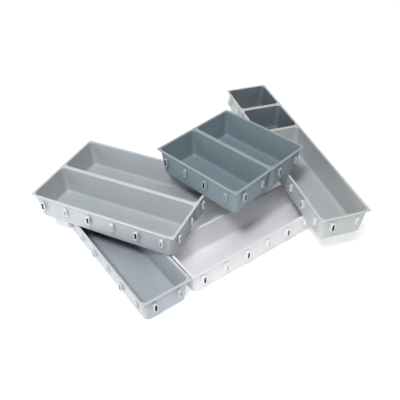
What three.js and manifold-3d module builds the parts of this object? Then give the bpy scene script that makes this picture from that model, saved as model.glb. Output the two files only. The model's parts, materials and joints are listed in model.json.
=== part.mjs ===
// A set of five clip-together drawer-organizer trays, resting in a loose pile.
//
// Millimetres, +Z up. The origin is on the table, under the middle of the pile's bounding box.
//
// Every tray is one thin moulding: a flat rim web with one or more cups hanging from it, and a
// row of hollow clips on each outer wall. The trays come in whole modules of one drawer grid,
// and in every module a socket clip stands on the left and a split tongue on the right, seen
// from outside, so that two trays standing side by side always present a tongue to a socket.

import * as THREE from 'three';
import { mergeVertices } from 'three/addons/utils/BufferGeometryUtils.js';
import Module from 'manifold-3d';

const wasm = await Module();
wasm.setup();

// --- Driving dimensions -----------------------------------------------------------------

const MODULE = 76.2;              // drawer grid, 3 in
const TRAY_HEIGHT = 43.5;
const GRID_CLEARANCE = 0.3;       // a rim edge stops this far inside its grid line

const RIM_THICKNESS = 1.5;
const RIM_CORNER_RADIUS = 2;
const RIM_OVERHANG = 1.9;         // rim edge to wall face, at the top of the wall

const WALL = 1.5;
const FLOOR = 1.5;
const WALL_LEAN = 4;              // how far a wall leans in from the rim to the foot
const WALL_CORNER_RADIUS = 8;
const FOOT_RADIUS = 5.5;          // rounded edge between the wall and the foot, outside
const FLOOR_FILLET = 4;           // rounded edge between the wall and the floor, inside
const CUP_GAP = 3;                // open gap between the walls of two cups, under the web

const CLIPS_PER_MODULE = 2;
const CLIP_DROP = 15.3;           // rim top to the middle of a clip
const CLIP_ROOT = 5;              // how far a clip is buried behind the rim edge
const CLIP_REACH = 1.8;           // how far a clip stands out past the rim edge
const SOCKET = { width: 5.8, height: 15 };
const SOCKET_SLOT = { width: 3.4, height: 11 };
const TONGUE_BASE = { width: 5, height: 14.4 };
const TONGUE_SHOULDER = -0.2;     // the base stops this far behind the rim edge
const TONGUE = { width: 2.8, height: 10.4 };
const TONGUE_SLIT = { width: 1.2, height: 8.2 };

const REST_GAP = 0.3;             // clearance where one tray rests on another
const CLIPPED_GAP = 1.4;          // extra gap between the rims of two trays clipped together

// --- Facets -----------------------------------------------------------------------------

const CORNER_STEPS = 4;           // facets round a vertical corner of a cup
const FILLET_STEPS = 2;           // facets round a foot edge or a floor fillet
const RIM_CORNER_STEPS = 2;       // facets round a corner of the rim
const CLIP_STEPS = 3;             // facets round one end of a clip
const SLOT_STEPS = 2;             // facets round one end of a slot, and of the tongue
const SLIT_STEPS = 1;             // facets across one end of the slit in a tongue
const OVERCUT = 1;                // how far a cutting solid passes the face it opens
const WELD = 1e-4;                // corners closer than this are one corner

// --- The trays --------------------------------------------------------------------------
//
// size counts modules along the tray's own X and Y. cuts splits it into cups, at whole
// modules along one of those axes. level counts the trays underneath, centre is where the
// middle of the tray stands, and yaw is the turn of its X axis, in degrees.

const TRAYS = [
  {
    name: 'tray_12x3',
    size: [4, 1],
    cuts: { axis: 0, at: [] },
    level: 0,
    centre: [91, -89.7],
    yaw: 35.9,
    colour: 0xe6e7ea,
  },
  {
    name: 'tray_9x6',
    size: [3, 2],
    cuts: { axis: 1, at: [1] },
    level: 1,
    centre: [-106.6, -65.4],
    yaw: -24.7,
    colour: 0xb9bfc4,
  },
  {
    name: 'tray_15x3',
    size: [5, 1],
    cuts: { axis: 0, at: [1, 2] },
    level: 1,
    centre: [143.1, 41.8],
    yaw: -73.1,
    colour: 0xb4b7b9,
  },
  {
    name: 'tray_6x6',
    size: [2, 2],
    cuts: { axis: 1, at: [1] },
    level: 2,
    centre: [45.3, -38.2],
    yaw: -44.3,
    colour: 0x6f7d85,
  },
];

// The 9 x 3 tray is clipped to the left end of the 12 x 3 tray, standing square to it, with
// its near end in line with that tray's front.
const CLIPPED_TRAY = {
  name: 'tray_9x3',
  size: [3, 1],
  cuts: { axis: 0, at: [] },
  level: 0,
  colour: 0xc3c6ca,
};
const CLIPPED_TO = 'tray_12x3';

// --- Solids -----------------------------------------------------------------------------

function toSolid(geometry) {
  const bare = geometry.clone();
  bare.deleteAttribute('normal');
  bare.deleteAttribute('uv');
  const welded = mergeVertices(bare, WELD);
  return new wasm.Manifold(new wasm.Mesh({
    numProp: 3,
    vertProperties: welded.attributes.position.array,
    triVerts: new Uint32Array(welded.index.array),
  }));
}

function toGeometry(solid) {
  const mesh = solid.getMesh();
  const geometry = new THREE.BufferGeometry();
  geometry.setAttribute('position', new THREE.BufferAttribute(mesh.vertProperties, 3));
  geometry.setIndex(new THREE.BufferAttribute(mesh.triVerts, 1));
  geometry.computeVertexNormals();
  return geometry;
}

// A closed skin over rings of equal length, listed upwards, each anticlockwise from above.
function loft(rings) {
  const count = rings[0].length;
  const top = (rings.length - 1) * count;
  const index = [];
  for (let start = 0; start < top; start += count) {
    for (let i = 0; i < count; i += 1) {
      const a = start + i;
      const b = start + ((i + 1) % count);
      index.push(a, b, b + count, a, b + count, a + count);
    }
  }
  for (let i = 1; i + 1 < count; i += 1) {
    index.push(0, i + 1, i);
    index.push(top, top + i, top + i + 1);
  }
  const geometry = new THREE.BufferGeometry().setFromPoints(rings.flat());
  geometry.setIndex(index);
  return geometry;
}

// Points along a circular arc about (x, y), from one angle to another, in quarter turns.
function arc(x, y, radius, from, to, steps) {
  const points = [];
  for (let step = 0; step <= steps; step += 1) {
    const angle = (from + ((to - from) * step) / steps) * (Math.PI / 2);
    points.push(new THREE.Vector2(x + radius * Math.cos(angle), y + radius * Math.sin(angle)));
  }
  return points;
}

// An anticlockwise rectangle with round corners, as points, filling a Box2.
function roundedBox(box, radius, steps) {
  const { min, max } = box.clone().expandByScalar(-radius);
  return [
    ...arc(max.x, max.y, radius, 0, 1, steps),
    ...arc(min.x, max.y, radius, 1, 2, steps),
    ...arc(min.x, min.y, radius, 2, 3, steps),
    ...arc(max.x, min.y, radius, 3, 4, steps),
  ];
}

// An anticlockwise upright slot shape with half-round ends, as points, about the origin.
function obround({ width, height }, steps) {
  const radius = width / 2;
  const rise = height / 2 - radius;
  return [...arc(0, rise, radius, 0, 2, steps), ...arc(0, -rise, radius, 2, 4, steps)];
}

// --- Cups -------------------------------------------------------------------------------

// How far a wall has leaned in at height z. It is upright where it meets the rim top.
function lean(z) {
  return WALL_LEAN * (1 - z / TRAY_HEIGHT);
}

// The outline of a cup's wall at height z, inside a Box2 by inset all round.
function ring(box, inset, radius, z) {
  const outline = roundedBox(box.clone().expandByScalar(-inset), radius, CORNER_STEPS);
  return outline.map(({ x, y }) => new THREE.Vector3(x, y, z));
}

// The leaning walls of a cup from base up to top, with a rounded edge round the base.
function cupSkin(box, { offset, base, fillet, top }) {
  const radius = WALL_CORNER_RADIUS - offset;
  const rings = [];
  for (let step = 0; step <= FILLET_STEPS; step += 1) {
    const angle = (step / FILLET_STEPS) * Math.PI / 2;
    const z = base + fillet * (1 - Math.cos(angle));
    const tuck = fillet * (1 - Math.sin(angle));
    rings.push(ring(box, offset + lean(z) + tuck, radius - tuck, z));
  }
  rings.push(ring(box, offset + lean(top), radius, top));
  return toSolid(loft(rings));
}

function cupOutside(box) {
  const top = TRAY_HEIGHT - RIM_THICKNESS / 2;
  return cupSkin(box, { offset: 0, base: 0, fillet: FOOT_RADIUS, top });
}

function cupInside(box) {
  const top = TRAY_HEIGHT + OVERCUT;
  return cupSkin(box, { offset: WALL, base: FLOOR, fillet: FLOOR_FILLET, top });
}

// The rim's outline as a Box2, centred on the tray.
function rimBox(size) {
  const half = new THREE.Vector2(...size).multiplyScalar(MODULE / 2).subScalar(GRID_CLEARANCE);
  return new THREE.Box2(half.clone().negate(), half);
}

// One Box2 per cup: the outside of its walls at the height of the rim.
function cupBoxes({ size, cuts }) {
  const outer = rimBox(size).expandByScalar(-RIM_OVERHANG);
  const limits = cuts.at.map((modules) => (modules - size[cuts.axis] / 2) * MODULE);
  const starts = [outer.min.getComponent(cuts.axis), ...limits.map((x) => x + CUP_GAP / 2)];
  const ends = [...limits.map((x) => x - CUP_GAP / 2), outer.max.getComponent(cuts.axis)];
  return starts.map((start, i) => {
    const box = outer.clone();
    box.min.setComponent(cuts.axis, start);
    box.max.setComponent(cuts.axis, ends[i]);
    return box;
  });
}

// --- Rim --------------------------------------------------------------------------------

function rimWeb(size) {
  const outline = roundedBox(rimBox(size), RIM_CORNER_RADIUS, RIM_CORNER_STEPS);
  const web = new THREE.ExtrudeGeometry(new THREE.Shape(outline), {
    depth: RIM_THICKNESS,
    bevelEnabled: false,
  });
  web.translate(0, 0, TRAY_HEIGHT - RIM_THICKNESS);
  return toSolid(web);
}

// --- Clips ------------------------------------------------------------------------------
//
// A clip is drawn facing +Z, upright along Y, with Z = 0 in the plane of the rim edge.

function boss(outline, holes, front) {
  const shape = new THREE.Shape(outline);
  for (const hole of holes) shape.holes.push(new THREE.Path(hole));
  const geometry = new THREE.ExtrudeGeometry(shape, {
    depth: front + CLIP_ROOT,
    bevelEnabled: false,
  });
  geometry.translate(0, 0, -CLIP_ROOT);
  return toSolid(geometry);
}

const socketClip = boss(
  obround(SOCKET, CLIP_STEPS),
  [obround(SOCKET_SLOT, SLOT_STEPS)],
  CLIP_REACH,
);
const slit = obround(TONGUE_SLIT, SLIT_STEPS);
const tongueBase = boss(obround(TONGUE_BASE, CLIP_STEPS), [slit], TONGUE_SHOULDER);
const tongueBlade = boss(obround(TONGUE, SLOT_STEPS), [slit], CLIP_REACH);
const clipKinds = [socketClip, tongueBase.add(tongueBlade)];

// The four outer walls: which way each faces, how far out its rim is and its length.
function outerWalls(size) {
  const reach = rimBox(size).max;
  return [
    { out: [1, 0], distance: reach.x, modules: size[1] },
    { out: [0, 1], distance: reach.y, modules: size[0] },
    { out: [-1, 0], distance: reach.x, modules: size[1] },
    { out: [0, -1], distance: reach.y, modules: size[0] },
  ];
}

function clipsOf(size) {
  const up = new THREE.Vector3(0, 0, 1);
  const pitch = MODULE / CLIPS_PER_MODULE;
  const clips = [];
  for (const { out, distance, modules } of outerWalls(size)) {
    const outward = new THREE.Vector3(...out, 0);
    const right = new THREE.Vector3().crossVectors(up, outward);
    const count = modules * CLIPS_PER_MODULE;
    for (let i = 0; i < count; i += 1) {
      const place = new THREE.Matrix4().makeBasis(right, up, outward);
      const foot = outward.clone().multiplyScalar(distance);
      foot.addScaledVector(right, (i - (count - 1) / 2) * pitch);
      foot.addScaledVector(up, TRAY_HEIGHT - CLIP_DROP);
      place.setPosition(foot);
      clips.push(clipKinds[i % clipKinds.length].transform(place.elements));
    }
  }
  return clips;
}

// --- Trays ------------------------------------------------------------------------------

function traySolid(tray) {
  const boxes = cupBoxes(tray);
  let solid = rimWeb(tray.size);
  for (const box of boxes) solid = solid.add(cupOutside(box));
  for (const clip of clipsOf(tray.size)) solid = solid.add(clip);
  for (const box of boxes) solid = solid.subtract(cupInside(box));
  return solid;
}

function makeTray(tray) {
  const material = new THREE.MeshStandardMaterial({
    color: tray.colour,
    roughness: 0.45,
    metalness: 0,
  });
  const mesh = new THREE.Mesh(toGeometry(traySolid(tray)), material);
  mesh.name = tray.name;
  mesh.position.set(...tray.centre, tray.level * (TRAY_HEIGHT + REST_GAP));
  mesh.rotation.z = THREE.MathUtils.degToRad(tray.yaw);
  return mesh;
}

// Where a tray stands when it is clipped square to the left end of its neighbour.
function clippedPlace(tray, neighbour) {
  const turn = THREE.MathUtils.degToRad(neighbour.yaw);
  const [length, width] = neighbour.size;
  const local = new THREE.Vector2(
    -(length + tray.size[1]) * MODULE / 2 - CLIPPED_GAP,
    (tray.size[0] - width) * MODULE / 2,
  );
  const centre = local.rotateAround(new THREE.Vector2(), turn).add(new THREE.Vector2(...neighbour.centre));
  return { ...tray, centre: centre.toArray(), yaw: neighbour.yaw - 90 };
}

const pile = new THREE.Group();
const neighbour = TRAYS.find((tray) => tray.name === CLIPPED_TO);
for (const tray of [...TRAYS, clippedPlace(CLIPPED_TRAY, neighbour)]) pile.add(makeTray(tray));

const middle = new THREE.Box3().setFromObject(pile, true).getCenter(new THREE.Vector3());
pile.position.set(-middle.x, -middle.y, 0);

export default pile;
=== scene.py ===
"""Looks for the five clip-together drawer trays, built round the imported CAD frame."""
import json
import math

import bmesh
import bpy
from mathutils import Matrix, Vector
from mathutils.geometry import tessellate_polygon


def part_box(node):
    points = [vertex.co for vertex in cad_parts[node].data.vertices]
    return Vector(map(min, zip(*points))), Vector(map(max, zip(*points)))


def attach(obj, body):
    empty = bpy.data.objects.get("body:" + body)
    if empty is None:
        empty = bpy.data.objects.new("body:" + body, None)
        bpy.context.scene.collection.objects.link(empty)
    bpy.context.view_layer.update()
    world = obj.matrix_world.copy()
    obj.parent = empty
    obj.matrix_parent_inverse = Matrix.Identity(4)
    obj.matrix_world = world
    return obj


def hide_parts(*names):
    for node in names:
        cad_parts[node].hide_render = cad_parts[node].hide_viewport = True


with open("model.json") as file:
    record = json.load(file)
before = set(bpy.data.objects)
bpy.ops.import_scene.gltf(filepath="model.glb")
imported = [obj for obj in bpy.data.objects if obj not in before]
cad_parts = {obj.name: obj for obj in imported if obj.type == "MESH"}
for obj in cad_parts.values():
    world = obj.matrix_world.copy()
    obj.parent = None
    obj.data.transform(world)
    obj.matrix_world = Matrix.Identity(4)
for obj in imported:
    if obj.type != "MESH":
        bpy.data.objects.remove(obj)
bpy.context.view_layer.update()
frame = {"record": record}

MM = 0.001

# --- Tray dimensions, in millimetres, as in the CAD source ------------------------------

MODULE = 76.2
HEIGHT = 43.5
GRID_CLEARANCE = 0.3
RIM_THICKNESS = 1.5
RIM_CORNER = 2.0
RIM_OVERHANG = 1.9
WALL = 1.5
FLOOR = 1.5
WALL_LEAN = 4.0
WALL_CORNER = 8.0
FOOT_RADIUS = 5.5
FLOOR_FILLET = 4.0
CUP_GAP = 3.0
CLIPS_PER_MODULE = 2              # a socket on the left and a tongue on the right
CLIP_DROP = 15.3
CLIP_REACH = 1.8
SOCKET = (5.8, 15.0)
SOCKET_SLOT = (3.4, 11.0)
TONGUE_BASE = (5.0, 14.4)
TONGUE_SHOULDER = -0.2
TONGUE = (2.8, 10.4)
TONGUE_SLIT = (1.2, 8.2)

# Detail that only this model shows.
CLIP_ROOT = WALL / 2              # how deep a clip is buried in the wall
SLOT_FLOOR = -0.2                 # a slot ends just in front of the wall
SLOT_LIP = 0.7                    # plain plastic down to here, painted shade below
TONGUE_HOLE = (2.0, 9.3)          # the hole in a tongue's base that its blade lines
RIM_EDGE = 0.5                    # round along the rim's outer top edge
RIM_UNDER_EDGE = 0.3              # and along its lower edge
MOUTH_EDGE = 0.5                  # round between the rim top and a cup's inner wall
MOUTH_BAND = 0.6                  # a narrow band of wall under that round
ROOT_FILLET = 0.6                 # fillet between the rim's underside and a wall
SOCKET_EDGE = 0.35                # round along a socket's front edges
TONGUE_EDGE = 0.2
GATE_RADIUS = 4.0                 # the dimple under each cup where the mould was filled
GATE_DEPTH = 0.4
GATE_PIP = 1.1                    # radius of the broken-off stub in it
GATE_PIP_HEIGHT = 0.25

CORNER_STEPS = 14                 # segments round a quarter turn of a wall
RIM_CORNER_STEPS = 6
ROUND_STEPS = 4                   # segments across a small rounded edge
FILLET_STEPS = 8                  # segments across a foot edge or a floor fillet
CLIP_STEPS = 12                   # segments round one end of a clip or slot
GATE_STEPS = 28


# --- Small geometry helpers -------------------------------------------------------------

def arc(x, y, radius, start, end, steps):
    """Points along a circular arc about (x, y), with its angles in quarter turns."""
    points = []
    for step in range(steps + 1):
        angle = (start + (end - start) * step / steps) * math.pi / 2
        points.append((x + radius * math.cos(angle), y + radius * math.sin(angle)))
    return points


def rounded_box(box, inset, radius, steps):
    """An anticlockwise rectangle with round corners. box is (x0, y0, x1, y1)."""
    x0, y0, x1, y1 = box
    margin = inset + radius
    return (
        arc(x1 - margin, y1 - margin, radius, 0, 1, steps)
        + arc(x0 + margin, y1 - margin, radius, 1, 2, steps)
        + arc(x0 + margin, y0 + margin, radius, 2, 3, steps)
        + arc(x1 - margin, y0 + margin, radius, 3, 4, steps)
    )


def obround(size, inset):
    """An anticlockwise upright slot shape with half-round ends, about the origin."""
    width, height = size
    radius = width / 2 - inset
    rise = (height - width) / 2
    top = arc(0, rise, radius, 0, 2, CLIP_STEPS)
    return top + arc(0, -rise, radius, 2, 4, CLIP_STEPS)


def lean(z):
    """How far a wall has leaned in at height z."""
    return WALL_LEAN * (1 - z / HEIGHT)


class Skin:
    """The corners and faces of one closed surface, collected loop by loop."""

    def __init__(self):
        self.mesh = bmesh.new()

    def loop(self, outline, z):
        return [self.mesh.verts.new((x, y, z)) for x, y in outline]

    def band(self, first, second):
        """Quads between two loops of equal length."""
        count = len(first)
        for i in range(count):
            j = (i + 1) % count
            self.mesh.faces.new((first[i], first[j], second[j], second[i]))

    def bands(self, loops):
        for first, second in zip(loops, loops[1:]):
            self.band(first, second)

    def cap(self, loop):
        self.mesh.faces.new(loop)

    def sheet(self, outline, holes):
        """A flat face with holes in it."""
        loops = [outline, *holes]
        corners = [corner for loop in loops for corner in loop]
        shapes = [[corner.co for corner in loop] for loop in loops]
        for triangle in tessellate_polygon(shapes):
            self.mesh.faces.new([corners[i] for i in triangle])

    def finish(self, name):
        """The closed surface as a mesh, with its faces pointing out."""
        bmesh.ops.recalc_face_normals(self.mesh, faces=self.mesh.faces)
        data = bpy.data.meshes.new(name)
        self.mesh.to_mesh(data)
        self.mesh.free()
        return data


# --- Cups and rim -----------------------------------------------------------------------

def rim_box(size):
    half_x = size[0] * MODULE / 2 - GRID_CLEARANCE
    half_y = size[1] * MODULE / 2 - GRID_CLEARANCE
    return (-half_x, -half_y, half_x, half_y)


def cup_boxes(tray):
    """The outside of each cup's walls at the height of the rim, as (x0, y0, x1, y1)."""
    size, axis = tray["size"], tray["cut_axis"]
    outer = [edge - math.copysign(RIM_OVERHANG, edge) for edge in rim_box(size)]
    cuts = [(modules - size[axis] / 2) * MODULE for modules in tray["cuts"]]
    starts = [outer[axis], *(x + CUP_GAP / 2 for x in cuts)]
    ends = [*(x - CUP_GAP / 2 for x in cuts), outer[axis + 2]]
    boxes = []
    for start, end in zip(starts, ends):
        box = list(outer)
        box[axis], box[axis + 2] = start, end
        boxes.append(box)
    return boxes


def quarter(steps):
    """Sine and cosine pairs from 0 to a quarter turn."""
    angles = [step / steps * math.pi / 2 for step in range(steps + 1)]
    return [(math.sin(angle), math.cos(angle)) for angle in angles]


def cup_loop(skin, box, offset, tuck, z):
    """A loop round a cup's wall: offset is through the wall, tuck is into a fillet."""
    radius = WALL_CORNER - offset - tuck
    inset = offset + lean(z) + tuck
    return skin.loop(rounded_box(box, inset, radius, CORNER_STEPS), z)


def add_cup_outside(skin, box):
    """A cup's outer skin, from the underside of the rim to the foot. Returns its top loop."""
    under = HEIGHT - RIM_THICKNESS
    loops = []
    for sine, cosine in quarter(ROUND_STEPS):
        z = under - ROOT_FILLET * (1 - cosine)
        loops.append(cup_loop(skin, box, 0, -ROOT_FILLET * (1 - sine), z))
    for sine, cosine in quarter(FILLET_STEPS):
        z = FOOT_RADIUS * (1 - sine)
        loops.append(cup_loop(skin, box, 0, FOOT_RADIUS * (1 - cosine), z))
    skin.bands(loops)
    skin.sheet(loops[-1], [add_gate(skin, box)])
    return loops[0]


def add_gate(skin, box):
    """The shallow dimple in the middle of a cup's foot. Returns its outer loop."""
    x, y = (box[0] + box[2]) / 2, (box[1] + box[3]) / 2
    rings = [
        (GATE_RADIUS, 0),
        (GATE_RADIUS - GATE_DEPTH, GATE_DEPTH),
        (GATE_PIP + GATE_PIP_HEIGHT, GATE_DEPTH),
        (GATE_PIP, GATE_DEPTH - GATE_PIP_HEIGHT),
    ]
    loops = [skin.loop(arc(x, y, radius, 0, 4, GATE_STEPS)[:-1], z) for radius, z in rings]
    skin.bands(loops)
    skin.cap(loops[-1])
    return loops[0]


def add_cup_inside(skin, box):
    """A cup's inner skin, from the rim top to the floor. Returns its top loop."""
    loops = []
    for sine, cosine in quarter(ROUND_STEPS):
        z = HEIGHT - MOUTH_EDGE * (1 - cosine)
        loops.append(cup_loop(skin, box, WALL, -MOUTH_EDGE * (1 - sine), z))
    loops.append(cup_loop(skin, box, WALL, 0, HEIGHT - MOUTH_EDGE - MOUTH_BAND))
    for sine, cosine in quarter(FILLET_STEPS):
        z = FLOOR + FLOOR_FILLET * (1 - sine)
        loops.append(cup_loop(skin, box, WALL, FLOOR_FILLET * (1 - cosine), z))
    skin.bands(loops)
    skin.cap(loops[-1])
    return loops[0]


def rim_loop(skin, box, inset, z):
    return skin.loop(rounded_box(box, inset, RIM_CORNER - inset, RIM_CORNER_STEPS), z)


def tray_body(tray):
    """The rim web and its cups as one closed surface."""
    skin = Skin()
    mouths, roots = [], []
    for box in cup_boxes(tray):
        mouths.append(add_cup_inside(skin, box))
        roots.append(add_cup_outside(skin, box))
    edge = rim_box(tray["size"])
    loops = []
    for sine, cosine in quarter(ROUND_STEPS):
        z = HEIGHT - RIM_EDGE * (1 - cosine)
        loops.append(rim_loop(skin, edge, RIM_EDGE * (1 - sine), z))
    for sine, cosine in quarter(ROUND_STEPS):
        z = HEIGHT - RIM_THICKNESS + RIM_UNDER_EDGE * (1 - sine)
        loops.append(rim_loop(skin, edge, RIM_UNDER_EDGE * (1 - cosine), z))
    skin.bands(loops)
    skin.sheet(loops[0], mouths)
    skin.sheet(loops[-1], roots)
    return skin.finish(tray["node"] + "_body")


# --- Clips ------------------------------------------------------------------------------
#
# A clip is drawn facing +Z, upright along Y, with z = 0 in the plane of the rim edge.

def wall_loop(skin, outline, depth):
    """A loop that leans with the wall behind a clip, this deep under the wall's face."""
    loop = skin.loop(obround(outline, 0), 0)
    for corner in loop:
        corner.co.z = -RIM_OVERHANG - lean(HEIGHT - CLIP_DROP + corner.co.y) - depth
    return loop


def slotted_boss(outline, slot, edge, front):
    """A boss with a slot in its face: from the root, over the front and into the slot."""
    skin = Skin()
    loops = [wall_loop(skin, outline, CLIP_ROOT)]
    for sine, cosine in quarter(ROUND_STEPS):
        z = front - edge * (1 - sine)
        loops.append(skin.loop(obround(outline, edge * (1 - cosine)), z))
    for sine, cosine in quarter(ROUND_STEPS):
        z = front - edge * (1 - cosine)
        loops.append(skin.loop(obround(slot, -edge * (1 - sine)), z))
    loops.append(skin.loop(obround(slot, 0), front - SLOT_LIP))
    loops.append(wall_loop(skin, slot, SLOT_FLOOR))
    skin.bands(loops)
    skin.cap(loops[0])
    skin.cap(loops[-1])
    return skin.finish("slotted_boss")


def united(name, base, other):
    """The union of two closed meshes, as one mesh."""
    work = bpy.data.objects.new(name, base)
    tool = bpy.data.objects.new("tool", other)
    bpy.context.scene.collection.objects.link(work)
    bpy.context.scene.collection.objects.link(tool)
    union = work.modifiers.new("union", "BOOLEAN")
    union.operation = "UNION"
    union.solver = "EXACT"
    union.object = tool
    graph = bpy.context.evaluated_depsgraph_get()
    result = bpy.data.meshes.new_from_object(work.evaluated_get(graph))
    bpy.data.objects.remove(tool)
    bpy.data.objects.remove(work)
    return result


def joined(parts):
    """Several placed meshes as one: parts is a list of (mesh, matrix)."""
    whole = bmesh.new()
    for data, matrix in parts:
        copy = data.copy()
        copy.transform(matrix)
        whole.from_mesh(copy)
        bpy.data.meshes.remove(copy)
    result = bpy.data.meshes.new("joined")
    whole.to_mesh(result)
    whole.free()
    return result


def clip_kinds():
    """The socket and the tongue."""
    socket = slotted_boss(SOCKET, SOCKET_SLOT, SOCKET_EDGE, CLIP_REACH)
    base = slotted_boss(TONGUE_BASE, TONGUE_HOLE, TONGUE_EDGE, TONGUE_SHOULDER)
    blade = slotted_boss(TONGUE, TONGUE_SLIT, TONGUE_EDGE, CLIP_REACH)
    return [socket, united("tongue", base, blade)]


def clip_places(size):
    """Where a tray's clips go. They come in turn: a socket, a tongue, a socket and so on."""
    up = Vector((0, 0, 1))
    reach = rim_box(size)[2:]
    places = []
    for side in range(4):
        outward = Matrix.Rotation(side * math.pi / 2, 3, "Z") @ Vector((1, 0, 0))
        right = up.cross(outward)
        turn = Matrix((right, up, outward)).transposed().to_4x4()
        count = size[1 - side % 2] * CLIPS_PER_MODULE
        for i in range(count):
            foot = outward * reach[side % 2]
            foot += right * (i - (count - 1) / 2) * MODULE / CLIPS_PER_MODULE
            foot += up * (HEIGHT - CLIP_DROP)
            places.append(Matrix.Translation(foot) @ turn)
    return places


def clips(size, kinds):
    """Every clip of a tray, in place."""
    return joined([(kinds[i % 2], place) for i, place in enumerate(clip_places(size))])


# --- Materials --------------------------------------------------------------------------

DARK_CUP = (0.165, 0.195, 0.225)  # the inside of the two small cups of the long tray
RIM_FADE = (1.0, 0.3)             # the rim's painted highlight fades in between these depths under its top

NOISE_SPAN = (0.3, 0.7)           # nearly all values of a noise lie between these

# The sizes of each pattern's blobs, in millimetres along, across and up a tray.
MOTTLE_SIZE = (55, 40, 40)
FLOW_SIZE = (130, 9, 30)          # flow lines of the melt
SPECKLE_SIZE = (0.9, 0.9, 0.9)
WAVE_SIZE = (28, 28, 28)          # slow unevenness of a moulded wall
GRAIN_SIZE = (0.55, 0.55, 0.55)   # fine matt grain of the mould
CHAFE_SIZE = (5, 5, 5)            # wear on an edge comes and goes
CHAFE_SPAN = (0.38, 0.6)
SCRATCH_PATCH_SIZE = (45, 45, 45)
SCRATCH_PATCH_SPAN = (0.42, 0.62)
SCRATCH_SIZES = ((38, 0.55, 0.9), (26, 0.5, 0.8))
SCRATCH_TURNS = (math.radians(9), math.radians(-52))
SCRATCH_SPAN = (0.66, 0.72)       # only the crests of a noise make a scratch

# How light each pattern's plastic is against the plain colour, and how much of it shows.
MOTTLE_TONES = (0.95, 1.05)
DARK_MOTTLE_TONES = (0.92, 1.08)
FLOW_TONE, FLOW_SHARE = 1.07, 0.35
SPECKLE_TONE, SPECKLE_SHARE = 0.9, 0.25
SCRATCH_TONE, SCRATCH_SHARE = 1.25, 0.3
WEAR_TONE, WEAR_SHARE = 1.1, 0.35
PAINTED_SLOT_SHADE_TONE = 0.12                # painted shade deep in a slot

ROUGHNESS = (0.41, 0.48)          # from one end of the mottle to the other
SPECKLE_ROUGHNESS = 0.02
POLISH = 0.1                      # how much smoother a scratch or a worn edge is
RIM_POLISH = 0.06

WAVE_DEPTH = 0.12                 # depths of the relief, in millimetres
GRAIN_DEPTH = 0.02
SCRATCH_DEPTH = 0.02

MARK_REACH = 0.05                 # how far off a clip's outline a corner still belongs to it
WEAR_FROM = math.radians(8)       # an edge that bends this much starts to show wear
WEAR_FULL = math.radians(24)


class Nodes:
    """Short ways to build the node tree of one material."""

    def __init__(self, name):
        self.material = bpy.data.materials.new(name)
        self.material.use_nodes = True
        self.tree = self.material.node_tree
        self.shader = self.tree.nodes["Principled BSDF"]

    def feed(self, socket, value):
        if isinstance(value, bpy.types.NodeSocket):
            self.tree.links.new(value, socket)
        else:
            socket.default_value = value

    def attribute(self, name):
        node = self.tree.nodes.new("ShaderNodeAttribute")
        node.attribute_name = name
        return node.outputs["Fac"]

    def height(self):
        """Height in the row frame, in metres."""
        place = self.tree.nodes.new("ShaderNodeTexCoord").outputs["Object"]
        node = self.tree.nodes.new("ShaderNodeSeparateXYZ")
        self.feed(node.inputs[0], place)
        return node.outputs["Z"]

    def noise(self, size, turn=0.0, detail=2.0):
        """Noise whose blobs have these sizes in millimetres."""
        place = self.tree.nodes.new("ShaderNodeTexCoord").outputs["Object"]
        mapping = self.tree.nodes.new("ShaderNodeMapping")
        mapping.vector_type = "TEXTURE"
        self.feed(mapping.inputs["Vector"], place)
        mapping.inputs["Rotation"].default_value = (0, 0, turn)
        mapping.inputs["Scale"].default_value = [side * MM for side in size]
        node = self.tree.nodes.new("ShaderNodeTexNoise")
        node.inputs["Scale"].default_value = 1
        node.inputs["Detail"].default_value = detail
        self.feed(node.inputs["Vector"], mapping.outputs["Vector"])
        return node.outputs["Fac"]

    def distance(self, centre):
        """How far a point is from centre, in metres."""
        place = self.tree.nodes.new("ShaderNodeTexCoord").outputs["Object"]
        node = self.tree.nodes.new("ShaderNodeVectorMath")
        node.operation = "DISTANCE"
        self.feed(node.inputs[0], place)
        node.inputs[1].default_value = centre
        return node.outputs["Value"]

    def remap(self, value, low, high, to_low=0.0, to_high=1.0):
        node = self.tree.nodes.new("ShaderNodeMapRange")
        for socket, number in zip(node.inputs, (value, low, high, to_low, to_high)):
            self.feed(socket, number)
        return node.outputs["Result"]

    def maths(self, operation, *values):
        node = self.tree.nodes.new("ShaderNodeMath")
        node.operation = operation
        for socket, value in zip(node.inputs, values):
            self.feed(socket, value)
        return node.outputs["Value"]

    def total(self, first, *others):
        for other in others:
            first = self.maths("ADD", first, other)
        return first

    def mix(self, factor, first, second):
        """From the first colour to the second, as factor goes from 0 to 1."""
        node = self.tree.nodes.new("ShaderNodeMix")
        node.data_type = "RGBA"
        self.feed(node.inputs["Factor"], factor)
        colours = [socket for socket in node.inputs if socket.type == "RGBA"]
        for socket, value in zip(colours, (first, second)):
            self.feed(socket, value)
        return next(socket for socket in node.outputs if socket.type == "RGBA")

    def bump(self, height):
        """A bump from a height in metres."""
        node = self.tree.nodes.new("ShaderNodeBump")
        node.inputs["Distance"].default_value = 1
        self.feed(node.inputs["Height"], height)
        return node.outputs["Normal"]


def solid(colour, gain=1.0):
    return (*(channel * gain for channel in colour), 1)


def scratches(nodes, turn):
    """Two families of hair scratches, 0 to 1, in patches."""
    patches = nodes.remap(nodes.noise(SCRATCH_PATCH_SIZE), *SCRATCH_PATCH_SPAN)
    families = []
    for size, slant in zip(SCRATCH_SIZES, SCRATCH_TURNS):
        families.append(nodes.remap(nodes.noise(size, turn + slant), *SCRATCH_SPAN))
    return nodes.maths("MULTIPLY", nodes.maths("MAXIMUM", *families), patches)


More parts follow.
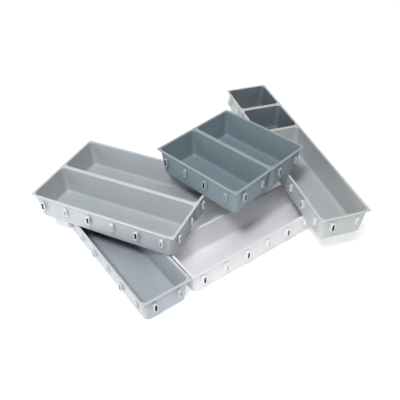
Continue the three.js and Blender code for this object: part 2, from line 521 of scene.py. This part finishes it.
def plastic_patterns(nodes, turn, foot):
    """The patterns that a tray's colour, roughness and relief share, each from 0 to 1."""
    top = foot + HEIGHT * MM
    low, high = (top - depth * MM for depth in RIM_FADE)
    chafe = nodes.remap(nodes.noise(CHAFE_SIZE, turn, detail=4), *CHAFE_SPAN)
    return {
        "mottle": nodes.remap(nodes.noise(MOTTLE_SIZE, turn, detail=3), *NOISE_SPAN),
        "flow": nodes.remap(nodes.noise(FLOW_SIZE, turn, detail=3), *NOISE_SPAN),
        "speckle": nodes.remap(nodes.noise(SPECKLE_SIZE), *NOISE_SPAN),
        "hairs": scratches(nodes, turn),
        "rim": nodes.remap(nodes.height(), low, high),
        "worn": nodes.maths("MULTIPLY", nodes.attribute("wear"), chafe),
    }


def plastic_colour(nodes, tray, patterns):
    colour, highlight_and_wear_colour = tray["colour"], tray["highlight_and_wear_colour"]

    def overlay(below, pattern, share, tone):
        return nodes.mix(nodes.maths("MULTIPLY", patterns[pattern], share), below, tone)

    shown = nodes.mix(patterns["mottle"], *(solid(colour, tone) for tone in MOTTLE_TONES))
    shown = overlay(shown, "flow", FLOW_SHARE, solid(colour, FLOW_TONE))
    shown = overlay(shown, "speckle", SPECKLE_SHARE, solid(colour, SPECKLE_TONE))
    if tray["dark_cups"]:
        tones = [solid(DARK_CUP, tone) for tone in DARK_MOTTLE_TONES]
        dark = nodes.mix(patterns["mottle"], *tones)
        shown = nodes.mix(nodes.attribute("dark_cup"), shown, dark)
    shown = overlay(shown, "hairs", SCRATCH_SHARE, solid(colour, SCRATCH_TONE))
    # painted highlight: the front of each clip's boss is painted in the paler highlight colour
    shown = nodes.mix(nodes.attribute("painted_clip_highlight"), shown, solid(highlight_and_wear_colour))
    # painted shade: the deep part of each clip's slot is painted nearly black
    shown = nodes.mix(nodes.attribute("painted_slot_shade"), shown, solid(colour, PAINTED_SLOT_SHADE_TONE))
    # painted highlight: the top of the rim is painted paler, as if lit from above
    shown = nodes.mix(patterns["rim"], shown, solid(highlight_and_wear_colour))
    return overlay(shown, "worn", WEAR_SHARE, solid(highlight_and_wear_colour, WEAR_TONE))


def plastic_roughness(nodes, patterns):
    return nodes.total(
        nodes.remap(patterns["mottle"], 0, 1, *ROUGHNESS),
        nodes.remap(patterns["speckle"], 0, 1, -SPECKLE_ROUGHNESS, SPECKLE_ROUGHNESS),
        nodes.maths("MULTIPLY", patterns["hairs"], -POLISH),
        nodes.maths("MULTIPLY", patterns["rim"], -RIM_POLISH),
        nodes.maths("MULTIPLY", patterns["worn"], -POLISH),
    )


def plastic_relief(nodes, turn, patterns):
    """The height of the surface's fine relief, in metres."""
    return nodes.total(
        nodes.maths("MULTIPLY", nodes.noise(WAVE_SIZE, turn), WAVE_DEPTH * MM),
        nodes.maths("MULTIPLY", nodes.noise(GRAIN_SIZE), GRAIN_DEPTH * MM),
        nodes.maths("MULTIPLY", patterns["hairs"], -SCRATCH_DEPTH * MM),
    )


def moulded_plastic(name, tray, foot):
    """Satin moulded polystyrene. foot is the height of the tray's underside, in metres."""
    nodes = Nodes(name)
    turn = math.radians(tray["yaw"])
    patterns = plastic_patterns(nodes, turn, foot)
    shader = nodes.shader.inputs
    nodes.feed(shader["Base Color"], plastic_colour(nodes, tray, patterns))
    nodes.feed(shader["Roughness"], plastic_roughness(nodes, patterns))
    nodes.feed(shader["Normal"], nodes.bump(plastic_relief(nodes, turn, patterns)))
    return nodes.material


def paint_marks(data, tray):
    """Stores each corner's wear, whether it is in a dark cup, and the painted highlight on a
    clip's face and painted shade in its slot.
    """
    mesh = bmesh.new()
    mesh.from_mesh(data)
    mesh.normal_update()
    wear = mesh.verts.layers.float.new("wear")
    dark = mesh.verts.layers.float.new("dark_cup")
    boxes = [cup_boxes(tray)[i] for i in tray["dark_cups"]]
    for vert in mesh.verts:
        bends = [edge.calc_face_angle_signed(0) for edge in vert.link_edges]
        if min(bends) > -WEAR_FROM:
            vert[wear] = min(max((max(bends) - WEAR_FROM) / (WEAR_FULL - WEAR_FROM), 0), 1)
        vert[dark] = float(any(is_inside(vert, box) for box in boxes))
    mark_clips(mesh, tray["size"])
    mesh.to_mesh(data)
    mesh.free()


def mark_clips(mesh, size):
    """Marks the slots of every clip for painted shade, and the rest of its boss for painted
    highlight.
    """
    painted_slot_shade = mesh.verts.layers.float.new("painted_slot_shade")
    painted_clip_highlight = mesh.verts.layers.float.new("painted_clip_highlight")
    slots = (SOCKET_SLOT, TONGUE_SLIT)
    for i, place in enumerate(clip_places(size)):
        inverse = place.inverted()
        for vert in mesh.verts:
            spot = inverse @ vert.co
            if spot.z < -RIM_OVERHANG - WALL_LEAN or not covers(SOCKET, spot):
                continue
            deep = spot.z < CLIP_REACH - SLOT_LIP + MARK_REACH
            if deep and covers(slots[i % 2], spot):
                vert[painted_slot_shade] = 1
            elif spot.z > TONGUE_SHOULDER - TONGUE_EDGE - MARK_REACH:
                vert[painted_clip_highlight] = 1


def covers(size, spot):
    """Whether a clip outline of this size covers a spot, or all but does."""
    return abs(spot.x) < size[0] / 2 + MARK_REACH and abs(spot.y) < size[1] / 2 + MARK_REACH


def is_inside(vert, box):
    """Whether a corner of the mesh is on the inner skin of a cup, under its mouth."""
    x, y, z = vert.co
    centre = Vector(((box[0] + box[2]) / 2, (box[1] + box[3]) / 2, HEIGHT))
    in_box = box[0] < x < box[2] and box[1] < y < box[3]
    faces_in = vert.normal.dot(centre - vert.co) > 0
    return in_box and faces_in and z < HEIGHT - MOUTH_EDGE - MOUTH_BAND / 2


# --- Pieces -----------------------------------------------------------------------------

# Each tray's highlight_and_wear_colour is a paler copy of its colour: painted highlight on its
# rim and clips, and the tone of its worn edges.
TRAYS = [
    {
        "node": "tray_12x3",
        "size": (4, 1),
        "cut_axis": 0,
        "cuts": [],
        "dark_cups": [],
        "yaw": 35.9,
        "colour": (0.80, 0.80, 0.82),
        "highlight_and_wear_colour": (0.86, 0.86, 0.87),
    },
    {
        "node": "tray_9x3",
        "size": (3, 1),
        "cut_axis": 0,
        "cuts": [],
        "dark_cups": [],
        "yaw": -54.1,
        "colour": (0.435, 0.475, 0.515),
        "highlight_and_wear_colour": (0.62, 0.65, 0.67),
    },
    {
        "node": "tray_9x6",
        "size": (3, 2),
        "cut_axis": 1,
        "cuts": [1],
        "dark_cups": [],
        "yaw": -24.7,
        "colour": (0.465, 0.50, 0.525),
        "highlight_and_wear_colour": (0.72, 0.74, 0.75),
    },
    {
        "node": "tray_15x3",
        "size": (5, 1),
        "cut_axis": 0,
        "cuts": [1, 2],
        "dark_cups": [0, 1],
        "yaw": -73.1,
        "colour": (0.51, 0.53, 0.54),
        "highlight_and_wear_colour": (0.68, 0.70, 0.70),
    },
    {
        "node": "tray_6x6",
        "size": (2, 2),
        "cut_axis": 1,
        "cuts": [1],
        "dark_cups": [],
        "yaw": -44.3,
        "colour": (0.225, 0.281, 0.32),
        "highlight_and_wear_colour": (0.36, 0.42, 0.44),
    },
]
SHARP_ANGLE = math.radians(38)
SLOTS = {row["node"]: row["material_slot"] for row in frame["record"]["subparts"]}


def place_matrix(tray):
    """From tray millimetres to the row frame."""
    low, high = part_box(tray["node"])
    foot = ((low.x + high.x) / 2, (low.y + high.y) / 2, low.z)
    turn = Matrix.Rotation(math.radians(tray["yaw"]), 4, "Z")
    return Matrix.Translation(foot) @ turn @ Matrix.Scale(MM, 4)


def smooth(piece):
    """Smooth shading that keeps flat faces flat and edges crisp."""
    data = piece.data
    data.shade_smooth()
    data.set_sharp_from_angle(angle=SHARP_ANGLE)
    weights = piece.modifiers.new("weights", "WEIGHTED_NORMAL")
    weights.keep_sharp = True
    graph = bpy.context.evaluated_depsgraph_get()
    piece.data = bpy.data.meshes.new_from_object(piece.evaluated_get(graph))
    piece.modifiers.clear()


def make_tray(tray, kinds):
    """One whole tray: its moulding, looks, body and material slot."""
    node = tray["node"]
    data = united(node + "_moulding", tray_body(tray), clips(tray["size"], kinds))
    paint_marks(data, tray)
    data.transform(place_matrix(tray))
    piece = bpy.data.objects.new(node + "_moulding", data)
    bpy.context.scene.collection.objects.link(piece)
    smooth(piece)
    material = moulded_plastic(SLOTS[node], tray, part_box(node)[0].z)
    piece.data.materials.clear()
    piece.data.materials.append(material)
    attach(piece, node)
    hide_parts(node)


# --- Camera, floor and light ------------------------------------------------------------

CAMERA_AIM = Vector((0.0028, 0.0100, 0))
CAMERA_DISTANCE = 0.8652
CAMERA_ELEVATION = math.radians(40.25)
CAMERA_ROLL = 0.0101              # radians
CAMERA_LENS = 46.84               # this and the sensor's width are in millimetres
SENSOR = 36.0


def add_camera():
    cosine, sine = math.cos(CAMERA_ELEVATION), math.sin(CAMERA_ELEVATION)
    forward = Vector((0, cosine, -sine))
    roll = Matrix.Rotation(CAMERA_ROLL, 3, forward)
    right = roll @ Vector((1, 0, 0))
    up = roll @ Vector((0, sine, cosine))
    data = bpy.data.cameras.new("camera")
    data.lens = CAMERA_LENS
    data.sensor_width = SENSOR
    camera = bpy.data.objects.new("camera", data)
    turn = Matrix((right, up, -forward)).transposed().to_4x4()
    camera.matrix_world = Matrix.Translation(CAMERA_AIM - forward * CAMERA_DISTANCE) @ turn
    bpy.context.scene.collection.objects.link(camera)
    bpy.context.scene.camera = camera


FLOOR_GLOW = 0.5                  # a light table, so that the outer walls are lit from below
SHADE_CENTRE = (0.06, 0.015, 0)   # the painted shadow on it under the pile, where it has no glow
SHADE_RADIUS = (0.04, 0.19)       # which ends between these radii
FAR_GLOW = 0.45                   # what the table gains far from the pile, where no light falls
FAR_RADIUS = (0.25, 3.0)          # and between which radii it gains it
FLOOR_COLOUR = (0.9, 0.9, 0.9)
FLOOR_ROUGHNESS = 0.9
FLOOR_HALF_SIDE = 20              # metres, as is the dome's radius
DOME_RADIUS = 15
DOME_GLOW = 0.95


def stage_piece(name, skin, material):
    """A piece of the scene round the trays, made from a bmesh."""
    data = bpy.data.meshes.new(name)
    skin.to_mesh(data)
    skin.free()
    data.materials.append(material)
    piece = bpy.data.objects.new(name, data)
    bpy.context.scene.collection.objects.link(piece)
    return piece


def add_floor():
    skin = bmesh.new()
    bmesh.ops.create_grid(skin, x_segments=1, y_segments=1, size=FLOOR_HALF_SIDE)
    nodes = Nodes("floor_paper")
    nodes.shader.inputs["Base Color"].default_value = solid(FLOOR_COLOUR)
    nodes.shader.inputs["Roughness"].default_value = FLOOR_ROUGHNESS
    nodes.shader.inputs["Emission Color"].default_value = (1, 1, 1, 1)
    distance = nodes.distance(SHADE_CENTRE)
    # painted shadow: the glow fades out towards the pile
    near = nodes.remap(distance, *SHADE_RADIUS, 0, FLOOR_GLOW)
    far = nodes.remap(distance, *FAR_RADIUS, 0, FAR_GLOW)
    nodes.feed(nodes.shader.inputs["Emission Strength"], nodes.total(near, far))
    stage_piece("floor", skin, nodes.material)


def add_backdrop():
    """A pale dome behind everything. It is only looked at, and lights nothing."""
    skin = bmesh.new()
    bmesh.ops.create_icosphere(skin, subdivisions=5, radius=DOME_RADIUS)
    nodes = Nodes("backdrop_paper")
    nodes.shader.inputs["Base Color"].default_value = (0, 0, 0, 1)
    nodes.shader.inputs["Specular IOR Level"].default_value = 0
    nodes.shader.inputs["Emission Color"].default_value = (1, 1, 1, 1)
    nodes.shader.inputs["Emission Strength"].default_value = DOME_GLOW
    dome = stage_piece("backdrop", skin, nodes.material)
    dome.visible_diffuse = False
    dome.visible_glossy = False
    dome.visible_transmission = False
    dome.visible_shadow = False


LIGHT_AIM = Vector((0, 0, 0.05))
LIGHT_DISTANCE = 1.6

# Name, azimuth and elevation in degrees, side in metres, power in watts.
SOFTBOXES = [
    ("key_front", 254, 55, 0.25, 14.3),
    ("key_top", 268, 68, 0.7, 6.5),
    ("low_left", 208, 15, 0.7, 8.0),
    ("right_fill", 350, 30, 0.8, 3.0),
    ("back", 90, 15, 0.8, 4.0),
]


def add_softbox(name, azimuth, elevation, side, power):
    across = math.cos(math.radians(elevation))
    ray = Vector((
        math.cos(math.radians(azimuth)) * across,
        math.sin(math.radians(azimuth)) * across,
        math.sin(math.radians(elevation)),
    ))
    data = bpy.data.lights.new(name, "AREA")
    data.shape = "RECTANGLE"
    data.size = data.size_y = side
    data.energy = power
    light = bpy.data.objects.new(name, data)
    light.location = LIGHT_AIM + ray * LIGHT_DISTANCE
    light.rotation_euler = (-ray).to_track_quat("-Z", "Y").to_euler()
    bpy.context.scene.collection.objects.link(light)


def add_light():
    """Soft boxes round the pile, in a dark room."""
    world = bpy.data.worlds.new("studio")
    world.use_nodes = True
    world.node_tree.nodes["Background"].inputs["Strength"].default_value = 0
    bpy.context.scene.world = world
    for softbox in SOFTBOXES:
        add_softbox(*softbox)


bpy.context.scene.view_settings.view_transform = "Standard"
add_camera()
add_floor()
add_backdrop()
add_light()
KINDS = clip_kinds()
for tray in TRAYS:
    make_tray(tray, KINDS)
